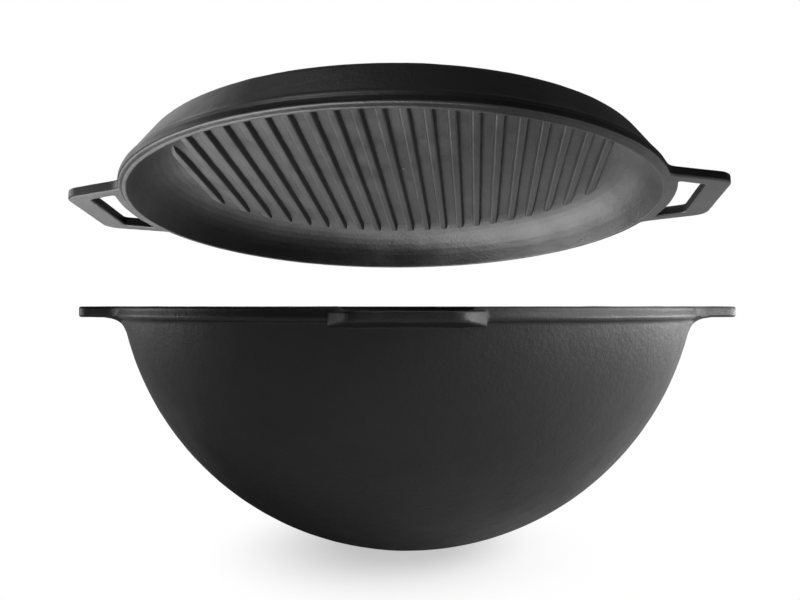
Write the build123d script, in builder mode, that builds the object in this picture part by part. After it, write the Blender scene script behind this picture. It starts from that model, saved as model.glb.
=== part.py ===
from build123d import *
import math
import os

os.makedirs("parts", exist_ok=True)

# Cast iron kazan: a round-bottomed pot with a grill-pan lid, two castings.
# Millimetres, +Z up. The origin is the middle of the pad that the pot stands on.
# The handles point along X and the pouring lip faces -Y.

# Rim shared by the pot and the lid
rim_radius = 180.5          # outside of the pot's rim, and of the lid's
rim_land_height = 6.5       # height of the thickened band at the pot's rim
edge_round = 1.2            # rounding of the castings' free edges

# Pot: a bowl that is part of a sphere, of even wall
band_overhang = 1.91        # the band stands out this far from the bowl at its foot
bowl_depth = 154.3          # rim plane down to the lowest point of the sphere
bowl_wall = 4.5

# Pad at the pole, where the casting's gate was ground flat
pad_radius = 15.5
pad_height = 0.7            # how far it stands out of the sphere

# Loop handles, two on each casting, all with the same root
handle_root_half = 53.0     # half width at the rim
handle_fillet = 8.0         # cove in plan where an arm meets the rim
hole_rim_strip = 3.5        # metal left between the rim and the hole
hole_root_half = 39.5       # half width of the hole at the rim
hole_corner_round = 4.0
hole_root_round = 2.5

# Lid's handles: long
lid_handle_reach = 34.1     # rim to the outside of the grip
lid_handle_tip_half = 37.0  # half width at the grip
lid_handle_round = 13.0     # outer corners
lid_handle_bar = 15.9       # width of the grip bar
lid_hole_tip_half = 31.0    # half width of the hole at the grip
lid_handle_thickness = 6.5

# Pot's handles: short
pot_handle_reach = 22.6
pot_handle_tip_half = 41.4
pot_handle_round = 11.0
pot_handle_bar = 10.4
pot_hole_tip_half = 35.5
pot_handle_thickness = 6.5
handle_web_reach = 8.0      # cove under the pot's handles: outwards from the rim,
handle_web_drop = 6.0       # down the bowl,
web_round = 14.0            # and the radius of its hollow

# Pouring lip at the front of the pot
lip_reach = 9.5             # beyond the rim
lip_base_half = 38.0        # half width where it leaves the rim
lip_front_half = 26.5       # half width of its straight front
lip_drop = 2.0              # the spout's floor lies this far below the rim
lip_height = 7.0            # lower edge of the lip below the rim, at its front
lip_root_drop = 10.0        # and at its root
spout_half = 30.0           # half width of the shallow spout over the rim
spout_flare = 4.0           # its sloping ends

# Lid: a shallow grill pan, worn upside down
lid_height = 31.0           # handles' underside to the flat outside face
lid_floor = 4.5
lid_band_height = 3.8       # upright band at the lid's rim
lid_wall_lean = 36.0        # outside wall from the upright, degrees
lid_wall_thickness = 6.2    # measured level, where the inside wall would meet the floor
lid_outer_round = 13.0      # outside wall into the flat face
lid_inner_round = 40.0      # cove from the inside wall to the floor
seat_inset = 3.2            # raised seating ring under the lid's rim, from its outside
seat_width = 2.3
seat_height = 1.8
seat_chamfer = 1.8          # outer side of the ring, level width

# Ribs across the lid's floor, square to the handles
rib_pitch = 13.7
rib_side_room = 8.0         # least room from the outermost rib to the ribs' circle
rib_crest = 4.6             # width at the crest
rib_base = 7.4              # width at the floor
rib_height = 4.0
rib_circle_inset = 33.5     # the crests end on a circle this far inside the rim
rib_run_out = 5.0           # and slope down to the floor over this length
rib_round = 0.8             # rounding of the crests' edges

# The lid is drawn held above the pot. One turn about this far, leaning line
# brings it down level on the rim.
held_angle = 10.66          # degrees back to the closed lid
closed_gap = 0.3            # left between the seating ring and the rim
closed_turn = -2.9          # the closed lid's handles against the pot's, degrees
hinge_behind = 362.6        # where the line passes, from the pot's axis
hinge_aside = -1.6
hinge_below = 68.8          # and below the rim plane
hinge_plan_turn = 1.5       # the line's turn from X seen from above, degrees
hinge_lean = 6.4            # and its lean from the level, degrees

# Worked out from the sizes above
foot_radius = rim_radius - band_overhang
foot_depth = bowl_depth - rim_land_height
bowl_radius = (foot_radius**2 + foot_depth**2) / (2 * foot_depth)
seat_outer_radius = rim_radius - seat_inset
seat_inner_radius = seat_outer_radius - seat_width
rib_circle = rim_radius - rib_circle_inset
rib_count = 2 * int((rib_circle - rib_side_room) / rib_pitch) + 1
rim_height = bowl_depth + pad_height
sphere_height = rim_height - bowl_depth + bowl_radius
inner_radius = bowl_radius - bowl_wall
hole_ring = rim_radius + hole_rim_strip
on_line = 0.01


def level_radius(radius, height):
    """Radius of a sphere about the bowl's centre, at a height above the origin."""
    return math.sqrt(radius**2 - (height - sphere_height) ** 2)


def reach_on_circle(radius, half_width):
    """Distance along X to a point of a circle, at a half width along Y."""
    return math.sqrt(radius**2 - half_width**2)


def free_of_bowl(point):
    """True on the rim band's outline and on the handles, outside the bowl."""
    return math.hypot(point.X, point.Y) > rim_radius - on_line


def loop_plate(plane, ring_radius, ring_width, reach, tip_half, corner_round, bar, hole_tip_half):
    """Both loop handles of a casting with their finger holes, on one ring."""
    grip_reach = rim_radius + reach
    hole_tip_reach = grip_reach - bar
    root_reach = reach_on_circle(rim_radius, handle_root_half)
    flank = (handle_root_half - tip_half) / (grip_reach - root_reach)
    buried_reach = root_reach - 2 * handle_fillet
    buried_half = handle_root_half + flank * (root_reach - buried_reach)
    hole_reach = reach_on_circle(hole_ring, hole_root_half)
    with BuildSketch(plane) as plate:
        Circle(ring_radius)
        for side in (1, -1):
            with BuildLine():
                Polyline(
                    (side * buried_reach, buried_half),
                    (side * grip_reach, tip_half),
                    (side * grip_reach, -tip_half),
                    (side * buried_reach, -buried_half),
                    close=True,
                )
            make_face()
        corners = plate.vertices()
        fillet(
            corners.filter_by(lambda v: abs(abs(v.X) - grip_reach) < on_line),
            corner_round,
        )
        corners = plate.vertices()
        fillet(
            corners.filter_by(
                lambda v: abs(math.hypot(v.X, v.Y) - ring_radius) < on_line and abs(v.Y) > 1
            ),
            handle_fillet,
        )
        Circle(ring_radius - ring_width, mode=Mode.SUBTRACT)
        for side in (1, -1):
            with BuildLine():
                Polyline(
                    (side * hole_reach, hole_root_half),
                    (side * hole_tip_reach, hole_tip_half),
                    (side * hole_tip_reach, -hole_tip_half),
                    (side * hole_reach, -hole_root_half),
                )
                ThreePointArc(
                    (side * hole_reach, -hole_root_half),
                    (side * hole_ring, 0),
                    (side * hole_reach, hole_root_half),
                )
            make_face(mode=Mode.SUBTRACT)
        corners = plate.vertices()
        fillet(
            corners.filter_by(lambda v: abs(abs(v.X) - hole_tip_reach) < on_line),
            hole_corner_round,
        )
        corners = plate.vertices()
        fillet(
            corners.filter_by(lambda v: abs(math.hypot(v.X, v.Y) - hole_ring) < on_line),
            hole_root_round,
        )
    return plate.sketch


def pot_loops(ring_radius):
    """The pot's handles on a ring of the bowl's wall."""
    return loop_plate(
        pot_rim, ring_radius, bowl_wall, pot_handle_reach, pot_handle_tip_half,
        pot_handle_round, pot_handle_bar, pot_hole_tip_half,
    )


# Pot: bowl, rim band, pad, handles and pouring lip in one casting
band_foot = rim_height - rim_land_height
pot_rim = Plane.XY.offset(rim_height)
with BuildPart() as pot:
    with BuildSketch(Plane.XZ):
        with BuildLine():
            band_inside = level_radius(inner_radius, rim_height)
            Line((0, sphere_height - inner_radius), (0, sphere_height - bowl_radius))
            RadiusArc(
                (0, sphere_height - bowl_radius),
                (level_radius(bowl_radius, band_foot), band_foot),
                -bowl_radius,
            )
            Polyline(
                (level_radius(bowl_radius, band_foot), band_foot),
                (rim_radius, band_foot),
                (rim_radius, rim_height),
                (band_inside, rim_height),
            )
            RadiusArc(
                (band_inside, rim_height), (0, sphere_height - inner_radius), inner_radius
            )
        make_face()
    revolve(axis=Axis.Z)
    with BuildSketch(Plane.XY):
        Circle(pad_radius)
    extrude(amount=pad_height + bowl_wall)
    extrude(pot_loops(rim_radius), amount=-pot_handle_thickness)
    top_edges = pot.edges().filter_by_position(Axis.Z, rim_height, rim_height)
    fillet(top_edges, edge_round)
    under_edges = pot.edges().filter_by_position(Axis.Z, band_foot, band_foot)
    fillet(under_edges.filter_by(lambda e: free_of_bowl(e @ 0.5)), edge_round)

# Coves under the pot's handles: the plate's outline carried down to the bowl, on a
# ring that stays inside the bowl's wall. They start inside the plate.
web_top = rim_height - pot_handle_thickness
web_foot = web_top - handle_web_drop
web_start = web_top + pot_handle_thickness / 2
with BuildPart() as webs:
    with BuildSketch(Plane.XZ):
        with BuildLine():
            web_root = level_radius(bowl_radius, web_foot)
            RadiusArc((rim_radius + handle_web_reach, web_top), (web_root, web_foot), -web_round)
            Polyline(
                (web_root, web_foot),
                (web_root - bowl_wall / 2, web_foot),
                (web_root - bowl_wall / 2, web_start),
                (rim_radius + handle_web_reach, web_start),
                (rim_radius + handle_web_reach, web_top),
            )
        make_face()
    revolve(axis=Axis.Z)
    extrude(pot_loops(web_root - bowl_wall / 4), amount=-rim_height, mode=Mode.INTERSECT)

# Pouring lip: a shelf on the rim with canted sides and a rising underside
lip_front = rim_radius + lip_reach
lip_back = rim_radius - bowl_wall
lip_root = reach_on_circle(rim_radius, lip_base_half)
lip_end = lip_root - bowl_wall
with BuildPart() as lip:
    with BuildSketch(Plane.YZ):
        with BuildLine():
            Polyline(
                (-lip_front, rim_height - lip_drop),
                (-lip_front, rim_height - lip_height),
                (-lip_back, rim_height - lip_root_drop),
                (-lip_end, rim_height - lip_root_drop),
                (-lip_end, rim_height - lip_drop),
                close=True,
            )
        make_face()
    extrude(amount=rim_radius, both=True)
    with BuildSketch(Plane.XY):
        with BuildLine():
            Polyline(
                (-lip_base_half, -lip_end),
                (-lip_base_half, -lip_root),
                (-lip_front_half, -lip_front),
                (lip_front_half, -lip_front),
                (lip_base_half, -lip_root),
                (lip_base_half, -lip_end),
                close=True,
            )
        make_face()
        Circle(lip_back, mode=Mode.SUBTRACT)
    extrude(amount=rim_height, mode=Mode.INTERSECT)

# The castings join: lip, coves and spout
with BuildPart() as kazan_bowl:
    add(pot.part)
    add(webs.part)
    add(lip.part)
    with BuildSketch(Plane.XZ.offset(lip_back - 2 * bowl_wall)):
        with BuildLine():
            Polyline(
                (-spout_half - spout_flare, rim_height + edge_round),
                (-spout_half, rim_height - lip_drop),
                (spout_half, rim_height - lip_drop),
                (spout_half + spout_flare, rim_height + edge_round),
                close=True,
            )
        make_face()
    extrude(amount=lip_reach + 4 * bowl_wall, mode=Mode.SUBTRACT)

# The lid's place: closed on the rim, then turned up about the leaning line
hinge_point = Vector(hinge_aside, hinge_behind, rim_height - hinge_below)
line_level = math.cos(math.radians(hinge_lean))
hinge_direction = -Vector(
    line_level * math.cos(math.radians(hinge_plan_turn)),
    line_level * math.sin(math.radians(hinge_plan_turn)),
    math.sin(math.radians(hinge_lean)),
)
closed_lid = Plane(
    origin=(0, 0, rim_height + closed_gap + seat_height),
    x_dir=(math.cos(math.radians(closed_turn)), math.sin(math.radians(closed_turn)), 0),
    z_dir=(0, 0, 1),
)
lift = (
    Location(hinge_point)
    * Location((0, 0, 0), hinge_direction, held_angle)
    * Location(-hinge_point)
)
held_lid = Plane(lift * closed_lid.location)
lid_section = Plane(origin=held_lid.origin, x_dir=held_lid.x_dir, z_dir=-held_lid.y_dir)
lid_axis = Axis(held_lid.origin, held_lid.z_dir)

# Lid's outside: seating ring, rim band, leaning wall and flat face
lean = math.radians(lid_wall_lean)
lean_run = math.tan(lean)
inside_height = lid_height - lid_floor
wall_top = rim_radius - (lid_height - lid_band_height) * lean_run
inner_wall_top = rim_radius - (inside_height - lid_band_height) * lean_run - lid_wall_thickness
with BuildPart() as shell:
    with BuildSketch(lid_section) as shell_section:
        with BuildLine():
            Polyline(
                (0, lid_height),
                (wall_top, lid_height),
                (rim_radius, lid_band_height),
                (rim_radius, 0),
                (seat_outer_radius + seat_chamfer, 0),
                (seat_outer_radius, -seat_height),
                (seat_inner_radius, -seat_height),
                (inner_wall_top, inside_height),
                (0, inside_height),
                close=True,
            )
        make_face()
        corners = shell_section.vertices()
        fillet(corners.filter_by(lambda v: abs(v.X - wall_top) < on_line), lid_outer_round)
        fillet(
            corners.filter_by(lambda v: abs(v.X - inner_wall_top) < on_line), lid_inner_round
        )
        fillet(corners.filter_by(lambda v: abs(v.X - rim_radius) < on_line), edge_round)
    revolve(axis=lid_axis)

# Lid's handles, filled to the wall that they grow from
handle_ring = rim_radius - (lid_handle_thickness - lid_band_height) * lean_run
lid_loops = loop_plate(
    held_lid, handle_ring, lid_wall_thickness / 2, lid_handle_reach, lid_handle_tip_half,
    lid_handle_round, lid_handle_bar, lid_hole_tip_half,
)
with BuildPart() as loops:
    extrude(lid_loops, amount=lid_handle_thickness)
    flat_edges = loops.faces().filter_by(lid_axis).edges()
    fillet(flat_edges.filter_by(lambda e: e.length < rim_radius * math.pi), edge_round)

# Ribs: bars with sloping sides, cut to a circle with a slope at their ends
crest_height = inside_height - rib_height
with BuildPart() as ribs:
    with BuildSketch(lid_section) as bars:
        with Locations([(rib_pitch * (i - (rib_count - 1) / 2), 0) for i in range(rib_count)]):
            Polygon(
                (-rib_crest / 2, crest_height),
                (rib_crest / 2, crest_height),
                (rib_base / 2, inside_height),
                (rib_base / 2, inside_height + lid_floor / 2),
                (-rib_base / 2, inside_height + lid_floor / 2),
                (-rib_base / 2, inside_height),
                align=None,
            )
        crests = bars.vertices().filter_by(lambda v: abs(v.Y - crest_height) < on_line)
        fillet(crests, rib_round)
    extrude(amount=rib_circle + rib_run_out, both=True)
    with BuildSketch(lid_section):
        Polygon(
            (0, crest_height),
            (rib_circle, crest_height),
            (rib_circle + rib_run_out, inside_height),
            (rib_circle + rib_run_out, inside_height + lid_floor / 2),
            (0, inside_height + lid_floor / 2),
            align=None,
        )
    revolve(axis=lid_axis, mode=Mode.INTERSECT)

with BuildPart() as grill_lid:
    add(shell.part)
    add(loops.part)
    add(ribs.part)

for name, casting in (("kazan_bowl", kazan_bowl), ("grill_lid", grill_lid)):
    casting.part.label = name
    export_step(casting.part, f"parts/{name}.step")
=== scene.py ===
import math

import bpy
import numpy as np
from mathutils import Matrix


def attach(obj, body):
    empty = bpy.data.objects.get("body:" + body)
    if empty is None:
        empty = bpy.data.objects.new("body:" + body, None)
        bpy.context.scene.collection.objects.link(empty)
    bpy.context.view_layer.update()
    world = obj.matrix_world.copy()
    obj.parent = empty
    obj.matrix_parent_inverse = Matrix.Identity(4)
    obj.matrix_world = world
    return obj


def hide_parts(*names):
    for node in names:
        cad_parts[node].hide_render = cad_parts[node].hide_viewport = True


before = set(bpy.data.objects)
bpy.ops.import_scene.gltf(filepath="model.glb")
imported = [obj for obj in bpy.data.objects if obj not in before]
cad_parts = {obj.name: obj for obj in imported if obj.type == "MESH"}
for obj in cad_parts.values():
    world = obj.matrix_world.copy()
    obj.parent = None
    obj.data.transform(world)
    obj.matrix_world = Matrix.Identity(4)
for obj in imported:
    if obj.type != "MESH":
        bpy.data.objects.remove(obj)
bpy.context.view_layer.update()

# Millimetres, in the CAD model's frame. The origin is the middle of the pad under the pot.
RIM = 180.5
RIM_HEIGHT = 155.0
BOWL_RADIUS = 181.8
BOWL_WALL = 4.5
BOWL_CENTRE = RIM_HEIGHT + 27.5
BAND_FOOT = RIM_HEIGHT - 6.5
PAD_RADIUS = 15.5
EDGE = 1.2  # rounding of free edges

# Pouring lip: beyond the rim, half widths at its root and its front, and heights below the rim
LIP_REACH = 9.5
LIP_ROOT = (38, 176.45)
LIP_FRONT_HALF = 26.5
LIP_TOP, LIP_FOOT, LIP_ROOT_FOOT = 2, 7, 10

HANDLE_ROOT = (172.55, 53.0)
HOLE_RING = 184.0
HOLE_ROOT = (179.7, 39.5)
# Loop handles: reach and half width of the grip, its corner, then reach and half width of the hole
POT_LOOP = (203.1, 41.4, 11.0, 192.7, 35.5)
LID_LOOP = (214.4, 37.0, 13.0, 198.7, 31.0)

LID_HEIGHT = 31.0
LID_INSIDE = 26.5
LID_LEAN = math.tan(math.radians(36.0))
LID_BAND = 3.8
LID_PLATE = 6.5
LID_WALL = 6.2
# The ring is 0.15 less tall than the solid's, to clear the pot when the lid is closed
SEAT_RING = [(179.1, 0), (177.3, -1.65), (175.0, -1.65)]
RIB_COUNT = 21
RIB_PITCH = 13.7
RIB_CIRCLE = 147.0
RIB_CREST = 22.5
RIB_RUN_OUT = 1.25  # length of the slope at a rib's end for each mm that it falls
# Where the lid is held
HELD_ORIGIN = np.array([-7.84442, 19.2536, 222.517])
HELD_X = np.array([0.997428, -0.069868, 0.016009])
HELD_Z = np.array([-0.002901, 0.183815, 0.982957])
HELD_Y = np.cross(HELD_Z, HELD_X)


ARC_STEP = 0.12  # radians between the points of an arc


# Distances, negative inside the metal
def rounded(points, radii):
    """A closed outline with an arc of its own radius at each corner."""
    outline = []
    count = len(points)
    for i in range(count):
        corner = np.array(points[i], float)
        back = np.array(points[i - 1], float) - corner
        on = np.array(points[(i + 1) % count], float) - corner
        back /= np.linalg.norm(back)
        on /= np.linalg.norm(on)
        half = math.acos(max(-1.0, min(1.0, back @ on))) / 2
        radius = radii[i]
        if radius == 0 or half > 1.56:
            outline.append(corner)
            continue
        middle = corner + (back + on) / np.linalg.norm(back + on) * radius / math.sin(half)
        first = corner + back * radius / math.tan(half) - middle
        last = corner + on * radius / math.tan(half) - middle
        sweep = math.pi - 2 * half
        side = 1 if first[0] * last[1] - first[1] * last[0] > 0 else -1
        chords = max(2, int(sweep / ARC_STEP))
        for k in range(chords + 1):
            a = side * sweep * k / chords
            c, s = math.cos(a), math.sin(a)
            outline.append(middle + (c * first[0] - s * first[1], s * first[0] + c * first[1]))
    return np.array(outline)


def outline_distance(outline, x, y):
    """Signed distance from points to a closed outline."""
    shape = x.shape
    x, y = x.ravel(), y.ravel()
    best = np.full(x.size, 1e9)
    inside = np.zeros(x.size, bool)
    for (ax, ay), (bx, by) in zip(outline, np.roll(outline, -1, axis=0)):
        dx, dy = bx - ax, by - ay
        length = dx * dx + dy * dy
        if length < 1e-12:
            continue
        t = np.clip(((x - ax) * dx + (y - ay) * dy) / length, 0, 1)
        best = np.minimum(best, (x - ax - t * dx) ** 2 + (y - ay - t * dy) ** 2)
        if ay != by:
            crossing = (ay > y) != (by > y)
            inside ^= crossing & (x < ax + (y - ay) * dx / dy)
    return np.where(inside, -1, 1).reshape(shape) * np.sqrt(best).reshape(shape)


def join(a, b, k):
    """Both bodies, with a cove of about k between them."""
    k = np.maximum(k, 1e-6)
    h = np.clip(0.5 + 0.5 * (b - a) / k, 0, 1)
    return b + (a - b) * h - k * h * (1 - h)


def common(a, b, radius):
    """What two bodies share, with its edge rounded."""
    a, b = a + radius, b + radius
    return np.minimum(np.maximum(a, b), 0) + np.hypot(np.maximum(a, 0), np.maximum(b, 0)) - radius


def skin(field, nodes, closed):
    """Vertices and quads of the surface at distance 0, from distances and places on a grid.

    A closed grid runs round in its first direction, and its hub is filled by one face."""
    nu, nv, nw = field.shape
    inside = field < 0
    cells_v, cells_w = nv - 1, nw - 1
    cell_ids, places, quads = [], [], []
    for axis in range(3):
        if axis == 0 and closed:
            other_field, other_nodes = np.roll(field, -1, 0), np.roll(nodes, -1, 0)
            edge = inside != np.roll(inside, -1, 0)
        else:
            cut = [slice(None)] * 3
            cut[axis] = slice(1, None)
            low = [slice(None)] * 3
            low[axis] = slice(None, -1)
            edge = np.zeros(field.shape, bool)
            edge[tuple(low)] = inside[tuple(low)] != inside[tuple(cut)]
            other_field, other_nodes = np.roll(field, -1, axis), np.roll(nodes, -1, axis)
        i, j, k = np.nonzero(edge)
        f0, f1 = field[i, j, k], other_field[i, j, k]
        t = (f0 / (f0 - f1))[:, None]
        place = nodes[i, j, k] * (1 - t) + other_nodes[i, j, k] * t
        b, c = [(1, 2), (2, 0), (0, 1)][axis]
        around = []
        for db, dc in ((-1, -1), (0, -1), (0, 0), (-1, 0)):
            cell = [i.copy(), j.copy(), k.copy()]
            cell[b] = cell[b] + db
            cell[c] = cell[c] + dc
            if closed:
                cell[0] = cell[0] % nu
            good = (cell[1] >= 0) & (cell[1] < cells_v) & (cell[2] >= 0) & (cell[2] < cells_w)
            good &= (cell[0] >= 0) & (cell[0] < (nu if closed else nu - 1))
            number = (cell[0] * cells_v + cell[1]) * cells_w + cell[2]
            around.append(np.where(good, number, -1))
            cell_ids.append(number[good])
            places.append(place[good])
        ring = np.stack(around, 1)
        flip = ~inside[i, j, k]
        ring[flip] = ring[flip][:, ::-1]
        quads.append(ring[(ring >= 0).all(1)])
    cell_ids = np.concatenate(cell_ids)
    places = np.concatenate(places)
    kept, back = np.unique(cell_ids, return_inverse=True)
    count = np.bincount(back)
    vertices = np.stack([np.bincount(back, places[:, a]) / count for a in range(3)], 1)
    faces = np.searchsorted(kept, np.concatenate(quads)).tolist()
    if closed:
        for k in np.nonzero(inside[0, 0, :-1] != inside[0, 0, 1:])[0]:
            hub = np.searchsorted(kept, np.arange(nu) * cells_v * cells_w + k).tolist()
            faces.append(hub if inside[0, 0, k] else hub[::-1])
    return vertices, faces


def steps(*spans):
    """Grid lines from (start, end, step) spans that follow on each other."""
    lines = []
    for start, end, step in spans:
        count = max(1, round((end - start) / step))
        lines.extend(np.linspace(start, end, count, endpoint=False))
    lines.append(spans[-1][1])
    return np.array(lines)


def round_grid(angles, radii, heights):
    """The nodes of a round grid about the Z axis."""
    a, r, h = np.meshgrid(angles, radii, heights, indexing="ij")
    return np.stack([r * np.cos(a), r * np.sin(a), h], -1)


# Shapes that both castings share
def handle_plan(x, y, ring, loop):
    """The two loops seen from above, with their holes, grown from a disc."""
    reach, half, corner, hole_reach, hole_half = loop
    x = np.abs(x)
    root_x, root_half = HANDLE_ROOT
    buried = root_half + (root_half - half) / (reach - root_x) * 30
    outer = rounded(
        [(root_x - 30, -buried), (reach, -half), (reach, half), (root_x - 30, buried)],
        [0, corner, corner, 0],
    )
    root_x, root_half = HOLE_ROOT
    buried = root_half + (root_half - hole_half) / (hole_reach - root_x) * 8
    hole = rounded(
        [(root_x - 8, -buried), (hole_reach, -hole_half), (hole_reach, hole_half),
         (root_x - 8, buried)],
        [0, 4, 4, 0],
    )
    radius = np.hypot(x, y)
    plate = join(radius - ring, outline_distance(outer, x, y), 7.0)
    return np.maximum(plate, -common(outline_distance(hole, x, y), HOLE_RING - radius, 2.5))


def plate_distance(plan, height, low, high):
    """A plate of that plan between two heights, its edges rounded."""
    return common(plan, np.maximum(low - height, height - high), EDGE)


# Cast surface: long soft waves over a fine orange peel, in the metal itself
def cast_waves(vertices, seed, sizes):
    rng = np.random.default_rng(seed)
    total = np.zeros(len(vertices))
    for wavelength, height, count in sizes:
        for _ in range(count):
            way = rng.normal(size=3)
            way *= 2 * math.pi / (wavelength * rng.uniform(0.7, 1.5) * np.linalg.norm(way))
            total += height / math.sqrt(count) * np.sin(vertices @ way + rng.uniform(0, 7))
    return total


def mesh_object(name, parts, seed, sizes):
    """One object of several skins, in metres, with its cast surface."""
    vertices, faces, offset = [], [], 0
    for part_vertices, part_faces in parts:
        vertices.append(part_vertices)
        faces.extend([[v + offset for v in face] for face in part_faces])
        offset += len(part_vertices)
    vertices = np.concatenate(vertices)
    mesh = bpy.data.meshes.new(name)
    mesh.from_pydata((vertices / 1000).tolist(), [], faces)
    mesh.update()
    normals = np.zeros(len(vertices) * 3, np.float32)
    mesh.vertex_normals.foreach_get("vector", normals)
    push = -np.abs(cast_waves(vertices, seed, sizes))
    vertices = vertices + normals.reshape(-1, 3) * push[:, None]
    mesh.vertices.foreach_set("co", (vertices / 1000).ravel())
    mesh.shade_smooth()
    mesh.update()
    piece = bpy.data.objects.new(name, mesh)
    bpy.context.scene.collection.objects.link(piece)
    return piece


WAVES = [(45, 0.07, 12), (14, 0.03, 14), (6, 0.018, 16)]


# Pot
def sphere_arc(radius, low, high, count):
    """Points of the bowl's section between two heights, as (radius, height)."""
    start = math.acos((BOWL_CENTRE - low) / radius) if BOWL_CENTRE - low < radius else 0.0
    end = math.acos((BOWL_CENTRE - high) / radius)
    return [
        (radius * math.sin(a), BOWL_CENTRE - radius * math.cos(a))
        for a in np.linspace(start, end, count)
    ]


def pot_field(nodes):
    x, y, z = nodes[..., 0], nodes[..., 1], nodes[..., 2]
    r2, z2 = np.hypot(x[0], y[0]), z[0]
    inner = BOWL_RADIUS - BOWL_WALL
    outside = sphere_arc(BOWL_RADIUS, BOWL_CENTRE - BOWL_RADIUS, BAND_FOOT, 110)
    inside = sphere_arc(inner, BOWL_CENTRE - inner, RIM_HEIGHT, 110)[::-1]
    corners = outside + [(RIM, BAND_FOOT), (RIM, RIM_HEIGHT)] + inside
    corners += [(-3, inside[-1][1]), (-3, outside[0][1])]
    radii = [0] * len(outside) + [1.6, EDGE, 1.4] + [0] * (len(inside) + 1)
    radii[len(outside) - 1] = 2.0
    bowl = outline_distance(rounded(corners, radii), r2, z2)
    pad = common(r2 - PAD_RADIUS, np.maximum(0.12 - z2, z2 - 3), 0.3)
    bowl = join(bowl, pad, 1.0)[None]

    plan = handle_plan(x[:, :, 0], y[:, :, 0], RIM, POT_LOOP)[..., None]
    plate = plate_distance(np.maximum(plan, 176 - r2[None]), z, BAND_FOOT, RIM_HEIGHT)
    web_plan = handle_plan(x[:, :, 0], y[:, :, 0], 175.5, POT_LOOP)[..., None]
    web_profile = rounded(
        [(174.5, 142.5), (177.5, 142.5), (180.2, 147.6), (188.5, 148.5), (188.5, 151),
         (174.5, 151)],
        [0, 0, 14, 0, 0, 0],
    )
    web = common(outline_distance(web_profile, r2, z2)[None], web_plan, 0.8)
    cove = np.clip((RIM_HEIGHT - 2 - z) / 3, 0, 1)
    metal = join(bowl, plate, 2.5 * cove)
    metal = join(metal, web, 2.0 * np.clip((BAND_FOOT + 1 - z) / 2, 0, 1))

    front, back = -RIM - LIP_REACH, -RIM + BOWL_WALL
    root_half, root = LIP_ROOT
    lip_top = RIM_HEIGHT - LIP_TOP
    side = rounded(
        [(front, lip_top), (front, RIM_HEIGHT - LIP_FOOT), (back, RIM_HEIGHT - LIP_ROOT_FOOT),
         (back, lip_top)],
        [0.9, 2.0, 0, 0],
    )
    flat = rounded(
        [(-root_half, back), (-root_half, -root), (-LIP_FRONT_HALF, front),
         (LIP_FRONT_HALF, front), (root_half, -root), (root_half, back)],
        [0, 0, 12.0, 12.0, 0, 0],
    )
    lip = common(
        outline_distance(side, y, z),
        outline_distance(flat, x[:, :, 0], y[:, :, 0])[..., None],
        1.1,
    )
    metal = join(metal, lip, 1.2 * np.clip((RIM_HEIGHT - 3 - z) / 2, 0, 1))
    spout = rounded(
        [(-34, RIM_HEIGHT + EDGE), (-30, lip_top), (30, lip_top), (34, RIM_HEIGHT + EDGE)],
        [0, 2.0, 2.0, 0],
    )
    channel = outline_distance(spout, x[:, :, 0][..., None] + 0 * z, z)
    channel = np.maximum(channel, y + 150)
    return np.maximum(metal, -channel)


def angle_lines(fine_spans, fine, coarse):
    """Angles round the circle in degrees, close together inside the spans."""
    spans, at = [], -180.0
    for start, end in fine_spans:
        if start > at:
            spans.append((at, start, coarse))
        spans.append((start, end, fine))
        at = end
    if at < 180:
        spans.append((at, 180.0, coarse))
    return np.radians(steps(*spans)[:-1])


pot_angles = angle_lines([(-180, -162), (-103, -77), (-18, 18), (162, 180)], 0.33, 0.75)
pot_nodes = round_grid(
    pot_angles,
    steps((1.2, 150, 3.2), (150, 172, 1.6), (172, 184, 0.6), (184, 218, 0.9)),
    steps((-2, 2.4, 0.5), (2.4, 132, 2.2), (132, 141, 1.2), (141, 157, 0.6)),
)
pot_skin = skin(pot_field(pot_nodes), pot_nodes, True)
pot = mesh_object("kazan_bowl_cast", [pot_skin], 11, WAVES)


# Lid
def lid_field(nodes):
    x, y, w = nodes[..., 0], nodes[..., 1], nodes[..., 2]
    r2, w2 = np.hypot(x[0], y[0]), w[0]
    wall_top = RIM - (LID_HEIGHT - LID_BAND) * LID_LEAN
    inner_top = RIM - (LID_INSIDE - LID_BAND) * LID_LEAN - LID_WALL
    section = rounded(
        [(-3, LID_HEIGHT), (wall_top, LID_HEIGHT), (RIM, LID_BAND), (RIM, 0), *SEAT_RING,
         (inner_top, LID_INSIDE), (-3, LID_INSIDE)],
        [0, 13, 0.8, EDGE, 0.4, 0.35, 0.5, 40, 0],
    )
    shell = outline_distance(section, r2, w2)[None]
    ring = RIM - (LID_PLATE - LID_BAND) * LID_LEAN
    plan = handle_plan(x[:, :, 0], y[:, :, 0], ring, LID_LOOP)
    plan = np.maximum(plan, 175.5 - np.hypot(x[:, :, 0], y[:, :, 0]))[..., None]
    plate = plate_distance(plan, w, 0.0, LID_PLATE)
    return join(shell, plate, 2.2 * np.clip((w - 3) / 2.5, 0, 1))


def held(vertices):
    """From the lid's own frame to where it is held."""
    return HELD_ORIGIN + vertices @ np.stack([HELD_X, HELD_Y, HELD_Z])


lid_angles = angle_lines([(-180, -162), (-18, 18), (162, 180)], 0.33, 0.6)
lid_nodes = round_grid(
    lid_angles,
    steps((1.2, 130, 3.2), (130, 172, 1.3), (172, 183, 0.42), (183, 218, 0.85)),
    steps((-3.2, 8.5, 0.5), (8.5, 25, 1.3), (25, 33, 0.9)),
)
lid_vertices, lid_faces = skin(lid_field(lid_nodes), lid_nodes, True)

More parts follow.
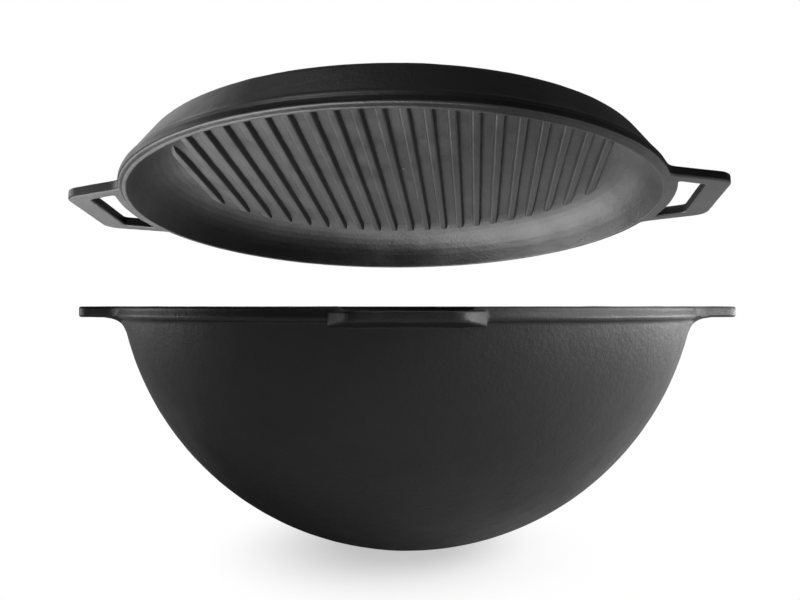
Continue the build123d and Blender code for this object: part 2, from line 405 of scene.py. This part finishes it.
# Ribs, each on a grid of its own that is fine across it and at its ends
RIB_SECTION = rounded(
    [(-2.3, RIB_CREST), (2.3, RIB_CREST), (3.35, 25.9), (3.95, 26.6), (3.95, 28.4), (-3.95, 28.4),
     (-3.95, 26.6), (-3.35, 25.9)],
    [0.7, 0.7, 0.9, 0, 0, 0, 0, 0.9],
)


def rib_skin(offset):
    """A rib that far to the side of the lid's middle."""
    end = math.sqrt((RIB_CIRCLE + 3) ** 2 - offset**2)
    across = steps((-4.8, 4.8, 0.45))
    along = steps((-end - 9, -end + 5, 0.7), (-end + 5, end - 5, 5.0), (end - 5, end + 9, 0.7))
    up = steps((21.6, 29.2, 0.45))
    a, v, w = np.meshgrid(across, along, up, indexing="ij")
    section = outline_distance(RIB_SECTION, a[:, 0, :], w[:, 0, :])[:, None, :]
    cone = (np.hypot(offset + a, v) - RIB_CIRCLE - (w - RIB_CREST) * RIB_RUN_OUT) / 1.6
    grid = np.stack([offset + a, v, w], -1)
    return skin(common(section + 0 * v, cone, 0.6), grid, False)


lid_parts = [(held(lid_vertices), lid_faces)]
for number in range(RIB_COUNT):
    rib_vertices, rib_faces = rib_skin(RIB_PITCH * (number - RIB_COUNT // 2))
    lid_parts.append((held(rib_vertices), rib_faces))
lid = mesh_object("grill_lid_cast", lid_parts, 23, WAVES)

for piece, body, node, slot in (
    (pot, "pot", "kazan_bowl", "pot_iron"),
    (lid, "lid", "grill_lid", "lid_iron"),
):
    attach(piece, body)
    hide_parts(node)
    print("mesh", piece.name, len(piece.data.vertices), len(piece.data.polygons))


# Cast iron, black and dry, with a fine sand grain
def cast_iron(name, seed, roughness):
    material = bpy.data.materials.new(name)
    material.use_nodes = True
    nodes, links = material.node_tree.nodes, material.node_tree.links
    nodes.clear()
    out = nodes.new("ShaderNodeOutputMaterial")
    shader = nodes.new("ShaderNodeBsdfPrincipled")
    links.new(shader.outputs["BSDF"], out.inputs["Surface"])
    shader.inputs["Specular IOR Level"].default_value = 0.6
    shader.inputs["Metallic"].default_value = 0.0
    place = nodes.new("ShaderNodeTexCoord")
    shift = nodes.new("ShaderNodeMapping")
    shift.inputs["Location"].default_value = (seed, seed * 0.7, -seed)
    links.new(place.outputs["Object"], shift.inputs["Vector"])

    def noise(scale, detail, rough):
        node = nodes.new("ShaderNodeTexNoise")
        node.inputs["Scale"].default_value = scale
        node.inputs["Detail"].default_value = detail
        node.inputs["Roughness"].default_value = rough
        links.new(shift.outputs["Vector"], node.inputs["Vector"])
        return node.outputs["Fac"]

    def ramp(value, stops):
        node = nodes.new("ShaderNodeValToRGB")
        while len(node.color_ramp.elements) < len(stops):
            node.color_ramp.elements.new(0.5)
        for element, (at, colour) in zip(node.color_ramp.elements, stops):
            element.position = at
            element.color = (*colour, 1) if len(colour) == 3 else colour
        links.new(value, node.inputs["Fac"])
        return node.outputs["Color"]

    stains = noise(9, 4, 0.6)
    colour = ramp(stains, [(0.3, (0.004, 0.004, 0.0043)), (0.75, (0.012, 0.012, 0.0124))])
    links.new(colour, shader.inputs["Base Color"])
    gloss = nodes.new("ShaderNodeMapRange")
    gloss.inputs["From Min"].default_value = 0.3
    gloss.inputs["From Max"].default_value = 0.7
    gloss.inputs["To Min"].default_value = roughness - 0.05
    gloss.inputs["To Max"].default_value = roughness + 0.07
    links.new(noise(35, 5, 0.65), gloss.inputs["Value"])
    links.new(gloss.outputs["Result"], shader.inputs["Roughness"])
    coarse = nodes.new("ShaderNodeBump")
    coarse.inputs["Strength"].default_value = 0.5
    coarse.inputs["Distance"].default_value = 0.0004
    links.new(noise(420, 3, 0.6), coarse.inputs["Height"])
    fine = nodes.new("ShaderNodeBump")
    fine.inputs["Strength"].default_value = 0.55
    fine.inputs["Distance"].default_value = 0.00018
    links.new(noise(1500, 2, 0.5), fine.inputs["Height"])
    links.new(coarse.outputs["Normal"], fine.inputs["Normal"])
    links.new(fine.outputs["Normal"], shader.inputs["Normal"])
    return material


pot.data.materials.append(cast_iron("pot_cast_iron", 3.1, 0.44))
lid.data.materials.append(cast_iron("lid_cast_iron", 7.7, 0.4))
for node_name, piece in (("kazan_bowl", pot), ("grill_lid", lid)):
    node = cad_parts[node_name]
    node.data.materials.clear()
    node.data.materials.append(piece.data.materials[0])


# Floor and world
def node_tree(owner):
    owner.use_nodes = True
    owner.node_tree.nodes.clear()
    return owner.node_tree.nodes, owner.node_tree.links


def math_node(nodes, links, operation, first, second):
    node = nodes.new("ShaderNodeMath")
    node.operation = operation
    for socket, value in zip(node.inputs, (first, second)):
        if isinstance(value, (int, float)):
            socket.default_value = value
        else:
            links.new(value, socket)
    return node.outputs["Value"]


def map_range(nodes, links, value, low, high, to_low, to_high):
    node = nodes.new("ShaderNodeMapRange")
    node.interpolation_type = "SMOOTHSTEP"
    for socket, number in zip(("From Min", "From Max", "To Min", "To Max"),
                              (low, high, to_low, to_high)):
        node.inputs[socket].default_value = number
    links.new(value, node.inputs["Value"])
    return node.outputs["Result"]


# A pale floor. The camera sees its own shading with the pot's shadow, lifted by an even glow and
# faded to white outward from the foot, which paints white over the shadow's outer part. Glossy rays
# see the floor glow white from further out, brighter on the right: a painted reflection that the
# iron mirrors as light.
floor_material = bpy.data.materials.new("floor_white")
nodes, links = node_tree(floor_material)
out = nodes.new("ShaderNodeOutputMaterial")
add = nodes.new("ShaderNodeAddShader")
mix = nodes.new("ShaderNodeMixShader")
diffuse = nodes.new("ShaderNodeBsdfDiffuse")
diffuse.inputs["Color"].default_value = (0.8, 0.8, 0.8, 1)
lift = nodes.new("ShaderNodeEmission")
white = nodes.new("ShaderNodeEmission")
path = nodes.new("ShaderNodeLightPath")
to_camera, mirrored = path.outputs["Is Camera Ray"], path.outputs["Is Glossy Ray"]
place = nodes.new("ShaderNodeTexCoord")
stretch = nodes.new("ShaderNodeVectorMath")
stretch.operation = "MULTIPLY"
stretch.inputs[1].default_value = (1.3, 1, 1)
links.new(place.outputs["Object"], stretch.inputs[0])
near = nodes.new("ShaderNodeVectorMath")
near.operation = "LENGTH"
links.new(stretch.outputs["Vector"], near.inputs[0])
distance = nodes.new("ShaderNodeVectorMath")
distance.operation = "LENGTH"
links.new(place.outputs["Object"], distance.inputs[0])
# Painted light: the camera sees the floor fade to white outward from the foot, which paints over the
# outer part of the pot's shadow.
near_fade = map_range(nodes, links, near.outputs["Value"], 0.028, 0.171, 0.0, 1.0)
far_fade = map_range(nodes, links, distance.outputs["Value"], 0.2, 0.42, 0.0, 1.0)
fade = math_node(
    nodes, links, "ADD",
    math_node(nodes, links, "MULTIPLY", near_fade, to_camera),
    math_node(nodes, links, "MULTIPLY", far_fade, mirrored),
)
sides = nodes.new("ShaderNodeSeparateXYZ")
links.new(place.outputs["Object"], sides.inputs[0])
# Painted reflection: for glossy rays the floor glows white, brighter towards the right, so the iron
# mirrors more light on its right.
painted_reflection_glow = map_range(nodes, links, sides.outputs["X"], -0.1, 0.5, 0.28, 0.75)
glow = math_node(
    nodes, links, "ADD", to_camera, math_node(nodes, links, "MULTIPLY", mirrored, painted_reflection_glow)
)
links.new(glow, white.inputs["Strength"])
links.new(math_node(nodes, links, "MULTIPLY", to_camera, 0.5), lift.inputs["Strength"])
links.new(diffuse.outputs["BSDF"], add.inputs[0])
links.new(lift.outputs["Emission"], add.inputs[1])
links.new(fade, mix.inputs["Fac"])
links.new(add.outputs["Shader"], mix.inputs[1])
links.new(white.outputs["Emission"], mix.inputs[2])
links.new(mix.outputs["Shader"], out.inputs["Surface"])

floor_mesh = bpy.data.meshes.new("floor")
floor_mesh.from_pydata([(-30, -30, 0), (30, -30, 0), (30, 30, 0), (-30, 30, 0)], [], [(0, 1, 2, 3)])
floor = bpy.data.objects.new("floor", floor_mesh)
bpy.context.scene.collection.objects.link(floor)
floor.data.materials.append(floor_material)

# The camera sees white all round; the castings see a room that is paler behind them than in front
world = bpy.data.worlds.new("world")
bpy.context.scene.world = world
nodes, links = node_tree(world)
world_out = nodes.new("ShaderNodeOutputWorld")
room = nodes.new("ShaderNodeBackground")
white = nodes.new("ShaderNodeBackground")
white.inputs["Color"].default_value = (1, 1, 1, 1)
way = nodes.new("ShaderNodeTexCoord")
split = nodes.new("ShaderNodeSeparateXYZ")
links.new(way.outputs["Generated"], split.inputs[0])
behind = map_range(nodes, links, split.outputs["Y"], -0.3, 0.9, 0.04, 0.1)
links.new(behind, room.inputs["Strength"])
path = nodes.new("ShaderNodeLightPath")
mix = nodes.new("ShaderNodeMixShader")
links.new(path.outputs["Is Camera Ray"], mix.inputs["Fac"])
links.new(room.outputs["Background"], mix.inputs[1])
links.new(white.outputs["Background"], mix.inputs[2])
links.new(mix.outputs["Shader"], world_out.inputs["Surface"])


def lit_set(name, pieces):
    """A set of pieces that some lamps light and the others leave alone."""
    group = bpy.data.collections.new(name)
    for piece in pieces:
        group.objects.link(piece)
    return group


def soft_box(name, place, target, width, height, brightness, lit, blocking):
    """A soft box whose face is that many times as bright as white. It lights one set of pieces."""
    data = bpy.data.lights.new(name, "AREA")
    data.shape = "RECTANGLE"
    data.size, data.size_y = width, height
    data.energy = brightness * width * height * math.pi
    lamp = bpy.data.objects.new(name, data)
    lamp.location = place
    way = np.array(target, float) - np.array(place, float)
    flat = math.hypot(way[0], way[1])
    lamp.rotation_euler = (math.atan2(flat, -way[2]), 0, math.atan2(way[1], way[0]) - math.pi / 2)
    lamp.visible_camera = False
    bpy.context.scene.collection.objects.link(lamp)
    lamp.light_linking.receiver_collection = lit
    lamp.light_linking.blocker_collection = blocking


# Lamps: name, place, target, width, height and brightness. The photo looks like two shots joined,
# so the pot and the lid have lamps of their own. Two of the lid's stand below the floor, and neither
# the floor nor the pot blocks them. lid_below_left lights what faces it about 3 times as strongly
# as a plain level would.
POT_LAMPS = (
    ("pot_right_back", (1.14, 0.37, 0.1), (0, 0, 0.1), 0.7, 0.2, 9.5),
    ("pot_right_front", (1.14, -0.4, 0.11), (0, 0, 0.1), 0.7, 0.2, 13.0),
    ("pot_upper_front", (0.9, -0.66, 0.7), (0, 0, 0.13), 0.62, 0.55, 5.0),
    ("pot_top", (0, -0.66, 1.37), (0, 0, 0.13), 0.8, 0.55, 1.5),
    ("pot_upper_right", (1.0, 0.15, 0.6), (0, 0, 0.13), 0.9, 0.5, 3.0),
    ("pot_top_back", (0.3, 0.6, 1.37), (0, 0, 0.13), 1.0, 0.55, 2.5),
    ("pot_left", (-1.14, 0.25, 0.14), (0, 0, 0.1), 0.7, 0.24, 3.2),
)
LID_LAMPS = (
    ("lid_back_low", (-0.35, 0.95, -0.35), (0, 0, 0.24), 1.0, 0.6, 0.9),
    ("lid_below_left", (-0.55, 0.3, -0.78), (0, 0, 0.24), 0.6, 0.6, 40.0),
    ("lid_left", (-1.2, 0.05, 0.32), (0, 0, 0.24), 0.8, 0.4, 3.0),
    ("lid_upper_left", (-0.95, 0.6, 0.7), (0, 0, 0.24), 1.3, 0.8, 1.1),
    ("lid_upper_front", (-0.5, -0.4, 1.28), (0, 0, 0.24), 0.9, 0.7, 2.0),
)
pot_shot = lit_set("pot_shot", [pot, floor])
lid_shot = lit_set("lid_shot", [lid])
for lamp in POT_LAMPS:
    soft_box(*lamp, pot_shot, None)
for lamp in LID_LAMPS:
    soft_box(*lamp, lid_shot, lid_shot)

# The photo's perspective: focal length and shifts in its pixels
WIDE, FOCAL, SHIFT_X, SHIFT_Y = 800, 955, -7.3, 6.5
camera_data = bpy.data.cameras.new("camera")
camera_data.sensor_width = 36.0
camera_data.lens = 36.0 * FOCAL / WIDE
camera_data.shift_x = SHIFT_X / WIDE
camera_data.shift_y = SHIFT_Y / WIDE
camera_data.clip_start = 0.01
camera = bpy.data.objects.new("camera", camera_data)
camera.location = (0, -0.6262, 0.155)
camera.rotation_euler = (math.pi / 2, 0, 0)
bpy.context.scene.collection.objects.link(camera)
bpy.context.scene.camera = camera
bpy.context.scene.view_settings.view_transform = "Standard"
